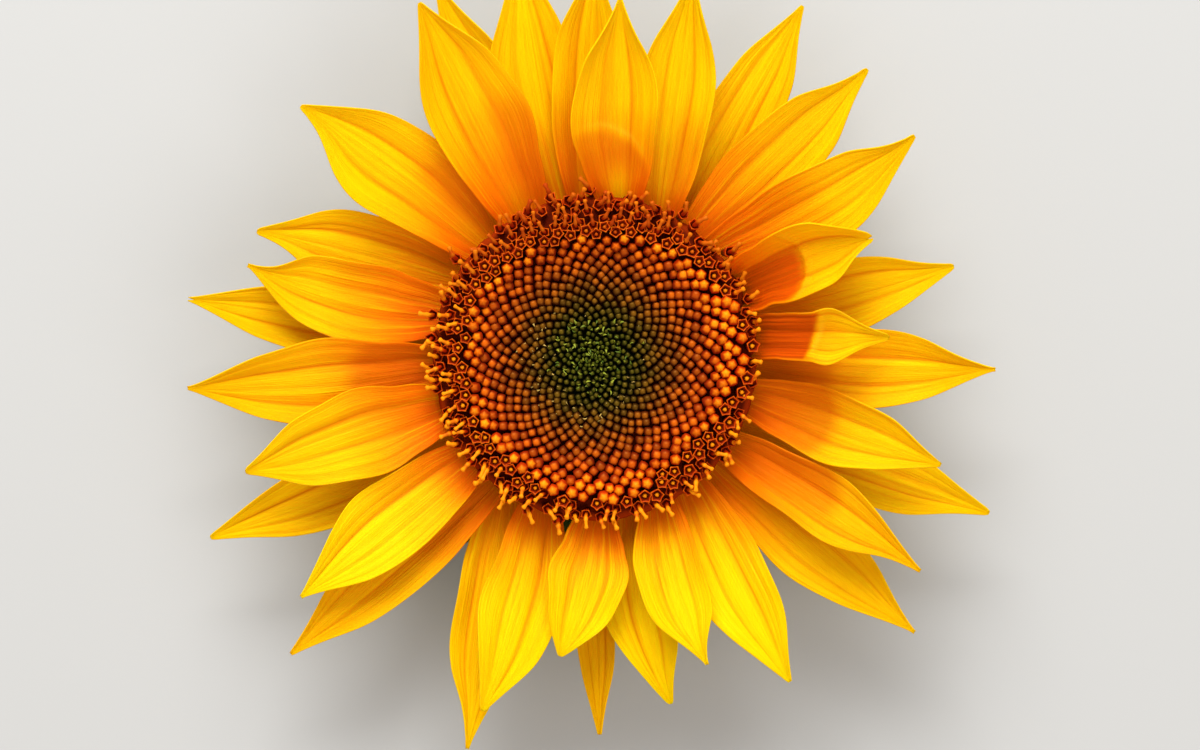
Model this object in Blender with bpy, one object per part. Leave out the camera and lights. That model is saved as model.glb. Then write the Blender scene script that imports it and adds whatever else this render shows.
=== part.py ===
"""A sunflower head in bloom, cut just below the flower and laid on its back, face up.

The frame is in metres with +Z up. The cut neck and the tips of the lowest bracts stand on z = 0,
and the head's box is centred on the origin. Lengths in the design values below are in millimetres
and angles in degrees, counter-clockwise from +X. Petals and bracts are placed around the flower's
own axis, which stands a little off the middle of the box because the petals aren't all equal.
"""

import math

import bmesh
import bpy
from mathutils import Vector

MM = 0.001
GAP = 0.3  # clearance between pieces that touch

# neck and receptacle
NECK_RADIUS = 7.6
NECK_LENGTH = 10.0
RIM_RADIUS = 33.5
RIM_BOTTOM = 17.0
RIM_TOP = 29.7
TURNED_SIDES = 48

# disc of florets, in three rings from the middle outward
GREEN_RADIUS = 9.7
ORANGE_RADIUS = 26.2
OPEN_RADIUS = 36.6
FLORET_BASE = RIM_TOP + GAP
FLORET_OVERHANG = 32.2  # underside of the outermost florets, which lean over the petals
FLORET_MIDDLE = 32.8  # tops of the florets, in the sunken middle
FLORET_CROWN = 36.6  # and on the raised ring near the rim

# ray petals
PETAL_THICKNESS = 0.7
PETAL_BASE_RADIUS = RIM_RADIUS + 0.9
PETAL_BASE_HEIGHT = 21.0  # height of the lowest layer where it leaves the receptacle
PETAL_LAYER_STEP = 1.9  # each layer starts this much higher
PETAL_LAYER_TILT = 4.4  # and rises outward this many degrees more
PETAL_STATIONS = (0.0, 0.09, 0.22, 0.37, 0.53, 0.70, 0.86, 1.0)  # along the petal
PETAL_COLUMNS = (-1.0, -0.5, 0.0, 0.5, 1.0)  # across the petal
PETAL_BELLY = 0.45  # where the petal is widest, along its length
PETAL_BASE_SHARE = 0.34  # width at the base, as a share of the full width
PETAL_TIP_WIDTH = 0.7

# bracts, the green leaves behind the petals
BRACT_COUNT = 21
BRACT_WHORL = 7
GOLDEN_ANGLE = 180.0 * (3.0 - math.sqrt(5.0))
BRACT_THICKNESS = 0.9
BRACT_BASE_RADIUS = RIM_RADIUS + 0.95
BRACT_STATIONS = (0.0, 0.16, 0.34, 0.54, 0.76, 1.0)
BRACT_COLUMNS = (-1.0, 0.0, 1.0)
BRACT_BELLY = 0.30
BRACT_BASE_SHARE = 0.62
BRACT_TIP_WIDTH = 0.8
# for each whorl, from the lowest up: base height, reach, fall at the tip, width, cup
BRACT_WHORLS = (
    dict(height=17.2, reach=27.0, fall=16.6, width=12.5, cup=0.7),
    dict(height=18.7, reach=29.0, fall=9.0, width=12.0, cup=0.6),
    dict(height=20.1, reach=24.0, fall=2.0, width=11.5, cup=0.5),
)

# Each petal: angle and distance of its tip, angle of its base, width, layer (0 is the rearmost),
# bow to the left as seen from its base, roll (left edge up), cup of its edges and arch of its middle.
PETALS = (
    dict(tip=(116.3, 87.0), base=116.5, width=21.5, layer=3.3, bow=-0.8, roll=0.6, cup=1.8, arch=1.0),
    dict(tip=(113.0, 89.5), base=110.0, width=16.0, layer=1.0, bow=0.0, roll=0.0, cup=1.0, arch=0.5),
    dict(tip=(100.5, 90.0), base=101.0, width=19.0, layer=2.0, bow=1.2, roll=0.3, cup=1.2, arch=0.5),
    dict(tip=(90.0, 88.0), base=93.0, width=16.5, layer=2.9, bow=0.8, roll=0.0, cup=1.2, arch=0.5),
    dict(tip=(86.0, 79.0), base=81.0, width=20.0, layer=4.2, bow=0.8, roll=0.0, cup=2.4, arch=1.5),
    dict(tip=(75.6, 87.0), base=66.0, width=17.0, layer=3.1, bow=0.0, roll=-0.6, cup=1.4, arch=0.6),
    dict(tip=(59.5, 90.5), base=57.0, width=17.0, layer=1.1, bow=0.0, roll=0.0, cup=1.2, arch=0.5),
    dict(tip=(46.7, 87.5), base=50.5, width=17.5, layer=2.2, bow=0.0, roll=0.4, cup=1.4, arch=0.6),
    dict(tip=(34.8, 85.5), base=40.5, width=18.5, layer=3.2, bow=-2.5, roll=0.5, cup=1.6, arch=0.8),
    dict(tip=(23.5, 66.5), base=26.5, width=19.0, layer=4.3, bow=1.0, roll=0.8, cup=3.2, arch=3.0),
    dict(tip=(14.4, 82.0), base=14.5, width=16.5, layer=1.2, bow=-0.5, roll=0.0, cup=1.2, arch=0.5),
    dict(tip=(4.0, 65.0), base=8.0, width=15.0, layer=3.9, bow=0.0, roll=0.0, cup=1.8, arch=3.0),
    dict(tip=(358.4, 88.3), base=359.0, width=18.0, layer=2.2, bow=-0.8, roll=0.0, cup=1.4, arch=0.6),
    dict(tip=(342.8, 79.5), base=346.0, width=16.5, layer=3.4, bow=0.0, roll=0.5, cup=1.6, arch=1.0),
    dict(tip=(338.6, 93.7), base=336.0, width=16.5, layer=1.1, bow=0.0, roll=0.0, cup=1.2, arch=0.5),
    dict(tip=(326.8, 85.5), base=326.5, width=14.8, layer=2.9, bow=0.8, roll=0.0, cup=1.6, arch=0.8),
    dict(tip=(319.4, 93.0), base=318.5, width=17.0, layer=1.4, bow=0.0, roll=0.0, cup=1.4, arch=0.5),
    dict(tip=(301.1, 83.2), base=306.5, width=17.5, layer=2.5, bow=-1.0, roll=0.5, cup=1.5, arch=1.0),
    dict(tip=(290.1, 71.8), base=294.0, width=16.0, layer=3.6, bow=-2.3, roll=0.0, cup=1.4, arch=1.2),
    dict(tip=(282.4, 78.2), base=283.4, width=16.5, layer=1.7, bow=-2.5, roll=0.0, cup=1.3, arch=0.8),
    dict(tip=(263.3, 66.0), base=270.5, width=17.8, layer=3.6, bow=1.7, roll=0.0, cup=1.4, arch=1.2),
    dict(tip=(270.7, 83.5), base=268.0, width=9.5, layer=0.4, bow=0.0, roll=0.0, cup=0.6, arch=0.4),
    dict(tip=(252.3, 81.5), base=249.5, width=18.5, layer=2.5, bow=2.2, roll=-0.3, cup=1.5, arch=0.8),
    dict(tip=(251.9, 90.8), base=236.5, width=16.0, layer=1.3, bow=0.0, roll=0.0, cup=1.2, arch=0.4),
    dict(tip=(224.2, 93.5), base=229.5, width=16.5, layer=2.0, bow=0.0, roll=0.0, cup=1.2, arch=0.5),
    dict(tip=(219.1, 83.3), base=219.0, width=18.0, layer=3.1, bow=-0.5, roll=0.0, cup=1.7, arch=1.0),
    dict(tip=(205.0, 93.8), base=210.0, width=16.5, layer=1.3, bow=0.5, roll=0.0, cup=1.3, arch=0.5),
    dict(tip=(198.0, 80.5), base=198.0, width=19.5, layer=3.8, bow=0.0, roll=-0.6, cup=1.7, arch=1.0),
    dict(tip=(184.2, 89.8), base=183.5, width=19.0, layer=3.0, bow=1.3, roll=-0.8, cup=1.5, arch=0.8),
    dict(tip=(171.7, 91.0), base=174.0, width=15.5, layer=1.0, bow=0.0, roll=0.0, cup=1.1, arch=0.4),
    dict(tip=(165.0, 79.3), base=163.5, width=19.0, layer=2.1, bow=2.3, roll=0.5, cup=1.7, arch=1.0),
    dict(tip=(159.4, 80.0), base=150.0, width=17.5, layer=1.1, bow=-1.2, roll=0.0, cup=1.3, arch=0.6),
    dict(tip=(139.4, 85.3), base=134.0, width=20.5, layer=2.5, bow=-2.0, roll=0.4, cup=1.8, arch=1.0),
    dict(tip=(126.5, 60.0), base=124.5, width=11.0, layer=0.4, bow=0.0, roll=0.0, cup=0.8, arch=0.4),
)

# name: base colour and roughness
FINISHES = {
    "petal": ((0.90, 0.42, 0.01), 0.55),
    "bract": ((0.10, 0.20, 0.04), 0.70),
    "stem": ((0.16, 0.26, 0.07), 0.65),
    "green florets": ((0.12, 0.13, 0.03), 0.60),
    "orange florets": ((0.45, 0.13, 0.02), 0.50),
    "open florets": ((0.50, 0.12, 0.02), 0.60),
}


def clear_scene():
    for thing in list(bpy.data.objects):
        bpy.data.objects.remove(thing, do_unlink=True)


def make_finish(name):
    colour, roughness = FINISHES[name]
    finish = bpy.data.materials.new(name)
    finish.use_nodes = True
    shader = finish.node_tree.nodes["Principled BSDF"]
    shader.inputs["Base Color"].default_value = (*colour, 1.0)
    shader.inputs["Roughness"].default_value = roughness
    shader.inputs["Metallic"].default_value = 0.0
    return finish


def add_piece(name, points, faces, finish, head):
    """One object from points in millimetres around the flower's axis."""
    mesh = bpy.data.meshes.new(name)
    mesh.from_pydata([tuple(MM * c for c in point) for point in points], [], faces)
    mesh.materials.append(finish)
    mesh.shade_smooth()
    piece = bpy.data.objects.new(name, mesh)
    piece.parent = head
    bpy.context.collection.objects.link(piece)
    return piece


def polar(angle, radius):
    turn = math.radians(angle)
    return Vector((radius * math.cos(turn), radius * math.sin(turn)))


def leaf_width(along, belly, base_share):
    """Share of the full width at a place along a petal or bract: wide at the belly, pointed at the tip."""
    rise = 1.0 - (1.0 - min(along / belly, 1.0)) ** 2
    taper = max(along - belly, 0.0) / (1.0 - belly)
    return (base_share + (1.0 - base_share) * rise) * (1.0 - taper * taper)


def thicken(piece, thickness):
    shell = piece.modifiers.new("thickness", "SOLIDIFY")
    shell.thickness = thickness * MM
    shell.offset = 0.0
    shell.use_even_offset = False


def leaf_faces(rows, columns):
    faces = []
    for row in range(rows - 1):
        for column in range(columns - 1):
            corner = row * columns + column
            faces.append((corner, corner + columns, corner + columns + 1, corner + 1))
    return faces


def petal_base(petal):
    """Middle of the base edge. A petal set at a slant stands off until its inner corner clears the rim."""
    outward = polar(petal["base"], 1.0)
    slant = outward.angle(polar(*petal["tip"]) - outward * PETAL_BASE_RADIUS)
    corner = petal["width"] * PETAL_BASE_SHARE / 2.0
    return outward * (PETAL_BASE_RADIUS + corner * math.sin(slant))


def petal_points(petal):
    """Rows of points from base to tip. The spine runs from base to tip, and rows lie across it."""
    base = petal_base(petal)
    chord = polar(*petal["tip"]) - base
    left = Vector((-chord.y, chord.x)).normalized()
    low = PETAL_BASE_HEIGHT + PETAL_LAYER_STEP * petal["layer"]
    climb = chord.length * math.tan(math.radians(PETAL_LAYER_TILT * petal["layer"]))
    points = []
    for along in PETAL_STATIONS:
        swell = 4.0 * along * (1.0 - along)
        middle = base + chord * along + left * (petal["bow"] * swell)
        share = leaf_width(along, PETAL_BELLY, PETAL_BASE_SHARE)
        half = max(petal["width"] * share, PETAL_TIP_WIDTH) / 2.0
        height = low + climb * along + petal["arch"] * swell
        for across in PETAL_COLUMNS:
            place = middle - left * (half * across)
            lift = share * (petal["cup"] * across**2 - petal["roll"] * across)
            points.append((place.x, place.y, height + lift))
    return points


def build_petals(finish, head):
    faces = leaf_faces(len(PETAL_STATIONS), len(PETAL_COLUMNS))
    for number, petal in enumerate(PETALS, start=1):
        piece = add_piece(f"ray_petal_{number:02d}", petal_points(petal), faces, finish, head)
        thicken(piece, PETAL_THICKNESS)


def bract_points(angle, whorl):
    """Rows of points from base to tip. A bract leaves the rim level and falls more and more."""
    outward = polar(angle, 1.0)
    left = Vector((-outward.y, outward.x))
    points = []
    for along in BRACT_STATIONS:
        share = leaf_width(along, BRACT_BELLY, BRACT_BASE_SHARE)
        half = max(whorl["width"] * share, BRACT_TIP_WIDTH) / 2.0
        middle = outward * (BRACT_BASE_RADIUS + whorl["reach"] * along)
        height = whorl["height"] - whorl["fall"] * along**1.6
        for across in BRACT_COLUMNS:
            place = middle - left * (half * across)
            points.append((place.x, place.y, height + whorl["cup"] * share * across**2))
    return points


def build_bracts(finish, head):
    faces = leaf_faces(len(BRACT_STATIONS), len(BRACT_COLUMNS))
    for number in range(BRACT_COUNT):
        whorl = BRACT_WHORLS[number // BRACT_WHORL]
        points = bract_points(number * GOLDEN_ANGLE, whorl)
        piece = add_piece(f"bract_{number + 1:02d}", points, faces, finish, head)
        thicken(piece, BRACT_THICKNESS)


def turned(name, profile, finish, head):
    """A solid turned about the flower's axis. The profile runs from the bottom, out and up, to the top."""
    piece = add_piece(name, [], [], finish, head)
    body = bmesh.new()
    ring = [body.verts.new((radius * MM, 0.0, height * MM)) for radius, height in profile]
    edges = [body.edges.new(pair) for pair in zip(ring, ring[1:])]
    bmesh.ops.spin(body, geom=ring + edges, axis=(0, 0, 1), cent=(0, 0, 0),
                   steps=TURNED_SIDES, angle=math.tau)
    bmesh.ops.remove_doubles(body, verts=body.verts, dist=1e-6)
    bmesh.ops.recalc_face_normals(body, faces=body.faces)
    body.to_mesh(piece.data)
    body.free()
    piece.data.shade_smooth()
    piece.data.set_sharp_from_angle(angle=math.radians(50))


def build_neck(finish, head):
    profile = ((0, 0), (NECK_RADIUS, 0), (NECK_RADIUS - 0.3, 4.0), (NECK_RADIUS + 0.5, NECK_LENGTH - GAP),
               (0, NECK_LENGTH - GAP))
    turned("stem_stub", profile, finish, head)


def build_receptacle(finish, head):
    """A thick shallow dish: it flares from the neck to a rim that carries the bracts and petals."""
    profile = ((0, NECK_LENGTH), (NECK_RADIUS + 0.6, NECK_LENGTH), (11.5, 11.8), (18.0, 13.6), (26.0, 14.8),
               (31.5, 15.6), (RIM_RADIUS, RIM_BOTTOM), (RIM_RADIUS, RIM_TOP - 0.8), (RIM_RADIUS - 1.0, RIM_TOP),
               (0, RIM_TOP))
    turned("receptacle", profile, finish, head)


def build_florets(finishes, head):
    green = ((0, FLORET_BASE), (GREEN_RADIUS, FLORET_BASE), (GREEN_RADIUS, FLORET_MIDDLE + 0.6),
             (5.0, FLORET_MIDDLE + 0.2), (0, FLORET_MIDDLE))
    turned("disc_green_buds", green, finishes["green florets"], head)
    inner = GREEN_RADIUS + GAP
    orange = ((inner, FLORET_BASE), (ORANGE_RADIUS, FLORET_BASE), (ORANGE_RADIUS, FLORET_CROWN - 1.2),
              (18.0, FLORET_CROWN - 1.8), (inner, FLORET_MIDDLE + 0.8), (inner, FLORET_BASE))
    turned("disc_orange_buds", orange, finishes["orange florets"], head)
    inner = ORANGE_RADIUS + GAP
    rim = RIM_RADIUS - 1.0
    spread = ((inner, FLORET_BASE), (rim, FLORET_BASE), (OPEN_RADIUS - 1.0, FLORET_OVERHANG),
              (OPEN_RADIUS, FLORET_OVERHANG + 2.0), (33.0, FLORET_CROWN - 0.4), (29.5, FLORET_CROWN),
              (inner, FLORET_CROWN - 0.8), (inner, FLORET_BASE))
    turned("disc_open_florets", spread, finishes["open florets"], head)


def centre_box(head):
    """Moves the whole head so that the middle of its box is on the origin."""
    bpy.context.view_layer.update()
    shapes = bpy.context.evaluated_depsgraph_get()
    places = []
    for piece in head.children:
        shape = piece.evaluated_get(shapes)
        places.extend(shape.matrix_world @ vertex.co for vertex in shape.data.vertices)
    for axis in (0, 1):
        values = [place[axis] for place in places]
        head.location[axis] = -(min(values) + max(values)) / 2.0
    bpy.context.view_layer.update()


def build():
    clear_scene()
    finishes = {name: make_finish(name) for name in FINISHES}
    head = bpy.data.objects.new("flower_axis", None)
    bpy.context.collection.objects.link(head)
    build_neck(finishes["stem"], head)
    build_receptacle(finishes["stem"], head)
    build_florets(finishes, head)
    build_petals(finishes["petal"], head)
    build_bracts(finishes["bract"], head)
    centre_box(head)


build()
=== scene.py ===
import math

import bmesh
import bpy
import numpy as np
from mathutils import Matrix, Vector


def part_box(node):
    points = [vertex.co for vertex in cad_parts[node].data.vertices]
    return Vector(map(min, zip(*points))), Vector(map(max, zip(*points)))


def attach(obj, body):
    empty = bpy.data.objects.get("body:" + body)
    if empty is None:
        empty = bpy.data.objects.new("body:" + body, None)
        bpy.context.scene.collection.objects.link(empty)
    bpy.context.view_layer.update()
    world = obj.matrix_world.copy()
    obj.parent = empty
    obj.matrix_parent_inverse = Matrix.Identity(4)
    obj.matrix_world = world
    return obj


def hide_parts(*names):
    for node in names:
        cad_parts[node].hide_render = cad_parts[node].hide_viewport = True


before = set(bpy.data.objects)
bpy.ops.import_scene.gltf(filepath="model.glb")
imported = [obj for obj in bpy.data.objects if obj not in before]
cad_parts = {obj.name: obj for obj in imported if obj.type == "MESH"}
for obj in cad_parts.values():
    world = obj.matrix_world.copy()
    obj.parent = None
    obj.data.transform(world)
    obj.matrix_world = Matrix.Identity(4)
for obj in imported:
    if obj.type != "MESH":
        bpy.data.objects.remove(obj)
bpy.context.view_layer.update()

mm = 0.001
dishLow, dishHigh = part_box("receptacle")
axisX, axisY = (dishLow.x + dishHigh.x) / 2, (dishLow.y + dishHigh.y) / 2  # the flower's own axis
rimRadius = (dishHigh.x - dishLow.x) / 2
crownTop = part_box("disc_open_florets")[1].z
goldenAngle = math.pi * (3 - math.sqrt(5))
scene = bpy.context.scene


# nodes written as expressions, for shaders and for geometry

class Value:
    def __init__(self, nodes, socket):
        self.nodes, self.socket = nodes, socket

    def maths(self, operation, *others):
        values = dict(enumerate((self, *others)))
        return self.nodes.add("ShaderNodeMath", {"operation": operation}, values)

    def __add__(self, other):
        return self.maths("ADD", other)

    __radd__ = __add__

    def __sub__(self, other):
        return self.maths("SUBTRACT", other)

    def __rsub__(self, other):
        return self.nodes.number(other).maths("SUBTRACT", self)

    def __mul__(self, other):
        return self.maths("MULTIPLY", other)

    __rmul__ = __mul__

    def __truediv__(self, other):
        return self.maths("DIVIDE", other)

    def __pow__(self, other):
        return self.maths("POWER", other)

    def __gt__(self, other):
        return self.maths("GREATER_THAN", other)

    def __lt__(self, other):
        return self.maths("LESS_THAN", other)


class Nodes:
    def __init__(self, tree):
        self.tree = tree
        tree.nodes.clear()

    def add(self, kind, settings=None, values=None, out=0):
        node = self.tree.nodes.new(kind)
        for name, setting in (settings or {}).items():
            if name == "stops":
                self.setStops(node.color_ramp.elements, setting)
            elif name == "points":
                self.setPoints(node.mapping, setting)
            else:
                setattr(node, name, setting)
        for name, value in (values or {}).items():
            if isinstance(value, Value):
                self.tree.links.new(value.socket, node.inputs[name])
            else:
                node.inputs[name].default_value = value
        return Value(self, node.outputs[out]) if len(node.outputs) else node

    def outputs(self, kind, values=None):
        # every output of a node, by its name
        node = self.add(kind, None, values).socket.node
        return {socket.name: Value(self, socket) for socket in node.outputs if socket.name}

    def setStops(self, elements, stops):
        while len(elements) < len(stops):
            elements.new(0.5)
        for element, (place, colour) in zip(elements, stops):
            element.position = place
            element.color = (*colour, 1)

    def setPoints(self, mapping, points):
        curve = mapping.curves[0]
        while len(curve.points) < len(points):
            curve.points.new(0.5, 0.5)
        for point, place in zip(curve.points, sorted(points)):
            point.location = place
        mapping.update()

    def number(self, value):
        return self.add("ShaderNodeMath", {"operation": "ADD"}, {0: value, 1: 0.0})

    def mix(self, factor, first, second):
        first, second = ((*side, 1.0) if isinstance(side, tuple) else side for side in (first, second))
        return self.add("ShaderNodeMix", {"data_type": "RGBA"}, {0: factor, 6: first, 7: second}, out=2)

    def ramp(self, factor, stops, easing="LINEAR"):
        node = self.add("ShaderNodeValToRGB", {"stops": stops}, {0: factor})
        node.socket.node.color_ramp.interpolation = easing
        return node

    def attribute(self, name):
        return self.add("ShaderNodeAttribute", {"attribute_name": name}, out="Fac")

    def attributes(self, *names):
        return [self.attribute(name) for name in names]

    def noise(self, vector, scale, detail=3.0, roughness=0.5):
        return self.add("ShaderNodeTexNoise", None, {"Vector": vector, "Scale": scale, "Detail": detail,
                                                     "Roughness": roughness})

    def vector(self, x, y, z):
        return self.add("ShaderNodeCombineXYZ", None, {0: x, 1: y, 2: z})

    def vectorMaths(self, operation, *vectors, out=0):
        return self.add("ShaderNodeVectorMath", {"operation": operation}, dict(enumerate(vectors)), out)

    def smooth(self, value, low, high):
        return self.add("ShaderNodeMapRange", {"interpolation_type": "SMOOTHSTEP"},
                        {0: value, 1: low, 2: high})

    def objectPlace(self):
        return self.add("ShaderNodeTexCoord", out="Object")


def newMaterial(name):
    material = bpy.data.materials.new(name)
    material.use_nodes = True
    nodes = Nodes(material.node_tree)
    nodes.material = material
    return nodes


def finishMaterial(nodes, colour, roughness, height=None, bump=0.0, reach=0.001, **fixed):
    values = {"Base Color": colour, "Roughness": roughness}
    if height is not None:
        values["Normal"] = nodes.add("ShaderNodeBump", None, {"Strength": bump, "Distance": reach,
                                                              "Height": height})
    values.update({name.replace("_", " "): value for name, value in fixed.items()})
    shader = nodes.add("ShaderNodeBsdfPrincipled", None, values)
    nodes.add("ShaderNodeOutputMaterial", None, {"Surface": shader})
    return nodes.material


# materials

petalColours = {
    # along: deep red at the base, partly the petal's own colour and partly painted shade from the disc
    "along": ((0.0, (0.52, 0.028, 0.0)), (0.09, (0.74, 0.075, 0.0)), (0.20, (0.86, 0.19, 0.0)),
              (0.33, (0.91, 0.36, 0.0)), (0.50, (0.93, 0.53, 0.0)), (1.0, (0.93, 0.55, 0.0))),
    # orange for painted shade on the side turned from the sun
    "warm": (0.80, 0.17, 0.0),
    # the painted shadow over a petal's inner part: deep, mid and in its lighter streaks
    "cupShadowDeep": (0.27, 0.009, 0.0),
    "inside": (0.50, 0.032, 0.0),
    "cupShadowLight": (0.76, 0.085, 0.0),
    # the petal's dark streaks, also the painted shade in its creases
    "darkStreakAndCreaseShade": (0.70, 0.13, 0.0),
    # the petal's pale streaks, also painted sunlight on the petals that face the sun
    "light": (1.0, 0.74, 0.0),
    # a painted highlight line where the painted shadow ends
    "paintedHighlight": (1.0, 0.80, 0.03),
    "back": (0.80, 0.50, 0.02),
    "sheen": (1.0, 0.80, 0.25, 1.0),
}

# subsurface translucency, plus a faint orange emission that paints light passing through the petals and
# lifts their shade
translucencyAndPaintedGlow = {"Subsurface_Weight": 0.30, "Subsurface_Radius": (1.0, 0.35, 0.02), "Subsurface_Scale": 0.0015,
             "Emission_Color": (1.0, 0.34, 0.0, 1.0), "Emission_Strength": 0.055}


def petalMaterial():
    nodes = newMaterial("petalGold")
    along, across, warm, dip, tone, inside = nodes.attributes(
        "along", "across", "warm", "dip", "tone", "inside")
    paint = petalColours
    # the ramp's red base is partly the petal's own colour and partly painted shade from the disc
    colour = nodes.ramp(along, paint["along"])
    # painted shading: positive values mix in orange painted shade, negative ones mix in yellow painted
    # sunlight
    colour = nodes.mix(warm, colour, paint["warm"])
    facing = nodes.smooth(warm, 0.0, -1.0) * nodes.smooth(along, 0.11, 0.30)
    colour = nodes.mix(facing, colour, paint["light"])
    strand = nodes.noise(nodes.vector(across * 22.0, along * 1.4, tone * 9.0), 1.0, 4.0, 0.65)
    fine = nodes.noise(nodes.vector(across * 75.0, along * 2.5, tone * 5.0), 1.0, 3.0, 0.6)
    young = nodes.smooth(along, 0.65, 0.05)
    colour = nodes.mix(nodes.smooth(strand, 0.50, 0.76) * (0.38 + young * 0.1), colour, paint["light"])
    colour = nodes.mix(nodes.smooth(strand, 0.49, 0.26) * (0.25 + young * 0.45), colour, paint["darkStreakAndCreaseShade"])
    colour = nodes.mix(nodes.smooth(fine, 0.48, 0.30) * (0.12 + young * 0.40), colour, paint["darkStreakAndCreaseShade"])
    # painted shade darkens the creases
    colour = nodes.mix(dip * 0.72, colour, paint["darkStreakAndCreaseShade"])
    # painted shadow over the inner part, lighter in streaks, following the strands at its edge
    cupShadow = nodes.mix(nodes.smooth(along, 0.04, 0.44), paint["cupShadowDeep"], paint["inside"])
    cupShadow = nodes.mix(nodes.smooth(strand, 0.36, 0.78), cupShadow, paint["cupShadowLight"])
    # painted highlight line past the painted shadow
    colour = nodes.mix(nodes.smooth(inside, 0.0, -1.0), colour, paint["paintedHighlight"])
    inside = inside + inside * (1.0 - inside) * (strand - 0.5) * 5.0  # follows the strands at its edge
    colour = nodes.mix(inside, colour, cupShadow)
    return finishMaterial(nodes, colour, 0.42 + fine * 0.16, strand * 0.55 + fine * 0.45, 0.8, 0.0008,
                          Specular_IOR_Level=0.16, Specular_Tint=paint["sheen"], **translucencyAndPaintedGlow)


def petalBackMaterial():
    nodes = newMaterial("petalBack")
    along, across = nodes.attributes("along", "across")
    strand = nodes.noise(nodes.vector(across * 30.0, along * 2.0, nodes.attribute("tone") * 9.0), 1.0)
    colour = nodes.mix(nodes.smooth(along, 0.45, 0.0), petalColours["back"], (0.45, 0.36, 0.03))
    colour = nodes.mix(nodes.smooth(strand, 0.45, 0.75) * 0.5, colour, (0.62, 0.34, 0.015))
    return finishMaterial(nodes, colour, 0.5 + strand * 0.15, strand, 0.6, 0.0005, Specular_IOR_Level=0.2)


floretColours = {
    "body": ((0.0, (0.004, 0.008, 0.001)), (0.20, (0.006, 0.009, 0.001)), (0.30, (0.014, 0.009, 0.001)),
             (0.42, (0.045, 0.009, 0.001)), (0.55, (0.11, 0.009, 0.001)), (0.70, (0.22, 0.011, 0.001)),
             (0.80, (0.50, 0.030, 0.001)), (1.0, (0.46, 0.020, 0.001))),
    # top: painted highlight on floret tops, partly their own paler tips
    "top": ((0.0, (0.045, 0.080, 0.003)), (0.20, (0.062, 0.068, 0.003)), (0.32, (0.115, 0.068, 0.004)),
            (0.42, (0.23, 0.075, 0.003)), (0.55, (0.46, 0.092, 0.002)), (0.70, (0.74, 0.12, 0.002)),
            (0.80, (1.0, 0.32, 0.004)), (1.0, (0.92, 0.20, 0.002))),
    # painted shade low between florets, less dark near the rim
    "gapShade": (0.028, 0.002, 0.001),
    "rimGapShade": (0.10, 0.006, 0.001),
    "inside": (0.20, 0.012, 0.001),
    "pollen": (0.92, 0.30, 0.004),
    # painted shade for anthers on the +Y side of the disc
    "shadedPollen": (0.40, 0.026, 0.002),
    "sheen": (1.0, 0.55, 0.12, 1.0),
}


def floretMaterial(name, highlightShare):
    # kind is 0 on a floret's wall, 1 inside its mouth and 2 on its anthers
    nodes = newMaterial(name)
    ring, tone, height, kind = nodes.attributes("ring", "tone", "height", "kind")
    paint = floretColours
    place = ring + (tone - 0.5) * 0.07
    body = nodes.ramp(place, paint["body"])
    # painted highlight on each floret's top, partly its own paler tip
    top = nodes.smooth(height, 0.84, 1.05) * (highlightShare * (0.45 + tone * 0.9))
    body = nodes.mix(top, body, nodes.ramp(place, paint["top"]))
    # painted shade: each floret darkens low on its sides, less dark near the rim
    gapShade = nodes.mix(nodes.smooth(ring, 0.74, 0.90), paint["gapShade"], paint["rimGapShade"])
    colour = nodes.mix(nodes.smooth(height, 0.70, 0.25), body, gapShade)
    colour = nodes.mix(nodes.smooth(kind, 0.4, 0.6), colour, paint["inside"])
    pollen = nodes.mix(nodes.smooth(height + tone * 0.4, 1.15, 0.6), paint["pollen"], body)
    # painted shade: anthers towards +Y are painted darker red
    far = nodes.add("ShaderNodeSeparateXYZ", None, {0: nodes.objectPlace()}, out="Y")
    far = nodes.smooth(far, axisY + 4.0 * mm, axisY + 30.0 * mm)
    pollen = nodes.mix(far * (0.5 + tone * 0.45), pollen, paint["shadedPollen"])
    colour = nodes.mix(nodes.smooth(kind, 1.4, 1.6), colour, pollen)
    grain = nodes.noise(nodes.objectPlace(), 1800.0, 2.0)
    return finishMaterial(nodes, colour, 0.30 + grain * 0.2, grain, 0.25, 0.0002, Specular_IOR_Level=0.35,
                          Specular_Tint=paint["sheen"])


def bractTipMaterial(name, dark, light):
    nodes = newMaterial(name)
    tone, height = nodes.attributes("tone", "height")
    colour = nodes.mix(tone, dark, light)
    colour = nodes.mix(nodes.smooth(height, 0.7, 0.1), colour, (0.02, 0.035, 0.004))
    return finishMaterial(nodes, colour, 0.45, Specular_IOR_Level=0.4)


def fromAxis(nodes):
    flat = nodes.vectorMaths("MULTIPLY", nodes.objectPlace(), (1, 1, 0))
    return nodes.vectorMaths("DISTANCE", flat, (axisX, axisY, 0), out="Value")


def bedMaterial():
    nodes = newMaterial("bedMaroon")
    grain, out = nodes.noise(nodes.objectPlace(), 900.0, 3.0), fromAxis(nodes)
    # dark maroon, partly the disc's own colour and partly painted shade in the gaps between florets;
    # lighter red on the lip
    colour = nodes.mix(grain, (0.035, 0.003, 0.001), (0.20, 0.014, 0.001))
    colour = nodes.mix(nodes.smooth(out, 33.8 * mm, 35.0 * mm), colour, (0.30, 0.026, 0.001))
    colour = nodes.mix(nodes.smooth(out, 16.0 * mm, 9.0 * mm), colour, (0.007, 0.009, 0.001))
    return finishMaterial(nodes, colour, 0.8, grain, 0.6, 0.0004, Specular_IOR_Level=0.03)


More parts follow.
